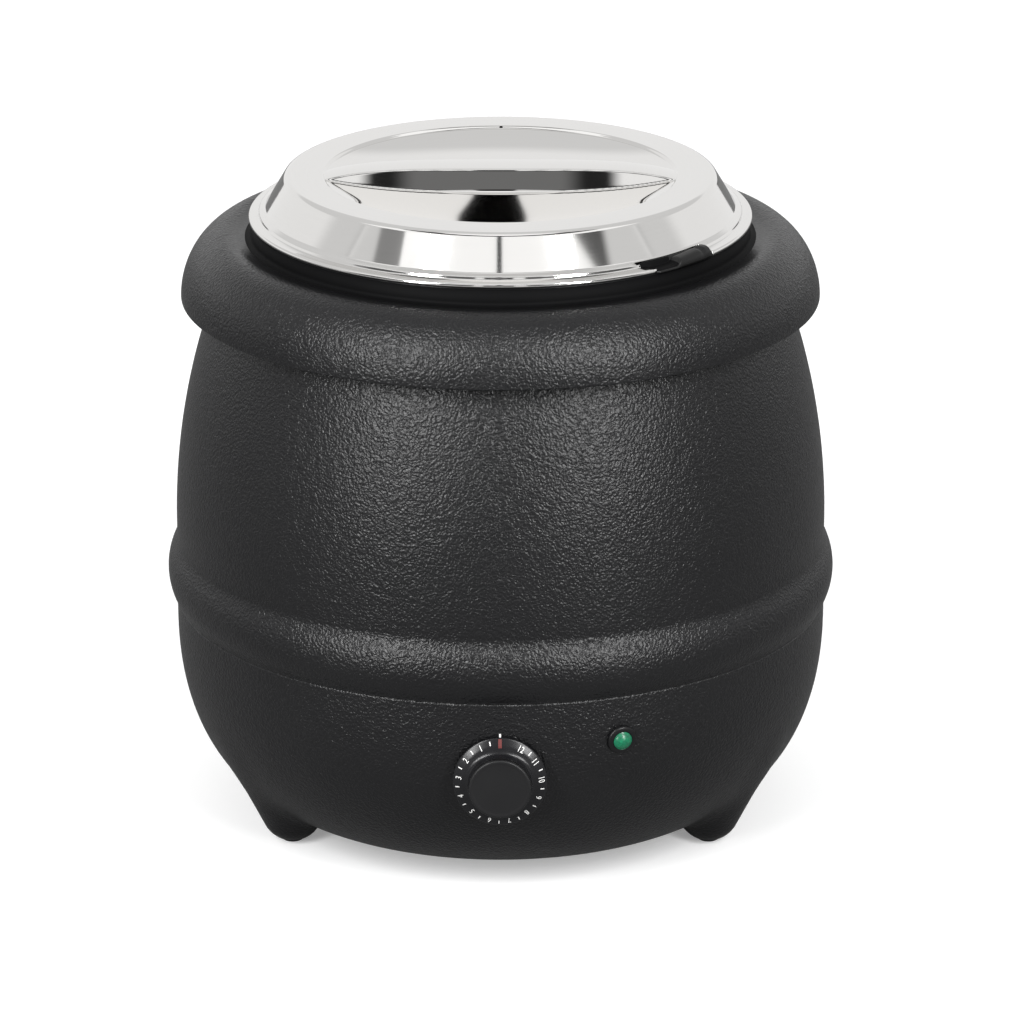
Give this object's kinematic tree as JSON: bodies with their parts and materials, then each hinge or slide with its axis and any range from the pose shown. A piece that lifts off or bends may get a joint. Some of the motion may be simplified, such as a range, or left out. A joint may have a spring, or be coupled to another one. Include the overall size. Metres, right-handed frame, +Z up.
{
  "type": "soup kettle",
  "caption": "Round electric soup kettle: textured black body on short feet, lift-out steel pot, polished lid with bridge grip and ladle notch, dial and green lamp.",
  "frame": {"origin": "on the floor, at the kettle's upright axis", "axes": "+Z up, front with the dial towards -Y, +X to the right seen from the front"},
  "size_m": [0.3405, 0.3569, 0.34],
  "materials": {
    "black_powder_coat": "cast aluminium with a textured satin black powder coat",
    "foot_rubber": "matt moulded rubber",
    "zinc_plate": "zinc-plated sheet",
    "screw_steel": "bright zinc-plated fasteners",
    "drawn_steel": "satin drawn stainless sheet",
    "silicone": "grey silicone",
    "mineral_wool": "mineral fibre blanket",
    "cast_aluminium": "as-cast aluminium",
    "element_sheath": "dark annealed element sheath",
    "thermostat_case": "cream heat-proof moulding",
    "copper": "drawn copper",
    "phenolic": "brown phenolic",
    "brass": "turned brass",
    "wire_sleeve": "red glass-fibre sleeve",
    "black_plastic": "black moulded plastic",
    "green_lens": "translucent green lens",
    "dial_plastic": "black moulded scale with white print",
    "cap_plastic": "fine-textured black cap",
    "polished_steel": "polished drawn stainless sheet",
    "trim_rubber": "smooth black moulded trim"
  },
  "bodies": {
    "housing": {"collar_ring": "black_powder_coat", "upper_shell": "black_powder_coat", "lower_shell": "black_powder_coat", "foot_pads": "foot_rubber", "base_plate": "zinc_plate", "base_screws": "screw_steel", "water_pan": "drawn_steel", "pan_gasket": "silicone", "insulation": "mineral_wool", "heat_plate": "cast_aluminium", "heating_element": "element_sheath", "element_clamp": "zinc_plate", "clamp_studs": "screw_steel", "clamp_nuts": "screw_steel", "reflector": "zinc_plate", "thermostat": "thermostat_case", "thermostat_screws": "screw_steel", "capillary": "copper", "sensor_bulb": "copper", "bulb_clip": "zinc_plate", "thermal_cutout": "phenolic", "terminal_block": "thermostat_case", "terminal_screws": "brass", "earth_stud": "brass", "internal_wires": "wire_sleeve", "lamp_bezel": "black_plastic", "lamp_lens": "green_lens", "lamp_body": "thermostat_case", "cord_gland": "black_plastic", "gland_nut": "black_plastic", "tie_rods": "screw_steel", "tie_nuts": "screw_steel", "collar_screws": "screw_steel"},
    "knob": {"thermostat_shaft": "screw_steel", "dial_skirt": "dial_plastic", "knob_cap": "cap_plastic", "knob_clip": "screw_steel"},
    "pot": {"soup_pot": "drawn_steel"},
    "cover": {"lid": "polished_steel", "ladle_trim": "trim_rubber"}
  },
  "joints": [
    {"name": "knob_turn", "type": "hinge", "parent": "housing", "child": "knob", "pos_m": [0, -0.1656, 0.076], "axis": [0, 1, 0], "range_deg": [0, 330]},
    {"name": "pot_lift", "type": "slide", "parent": "housing", "child": "pot", "axis": [0, 0, 1], "range_m": [0, 0.24]},
    {"name": "lid_lift", "type": "slide", "parent": "pot", "child": "cover", "axis": [0, 0, 1], "range_m": [0, 0.12]}
  ]
}
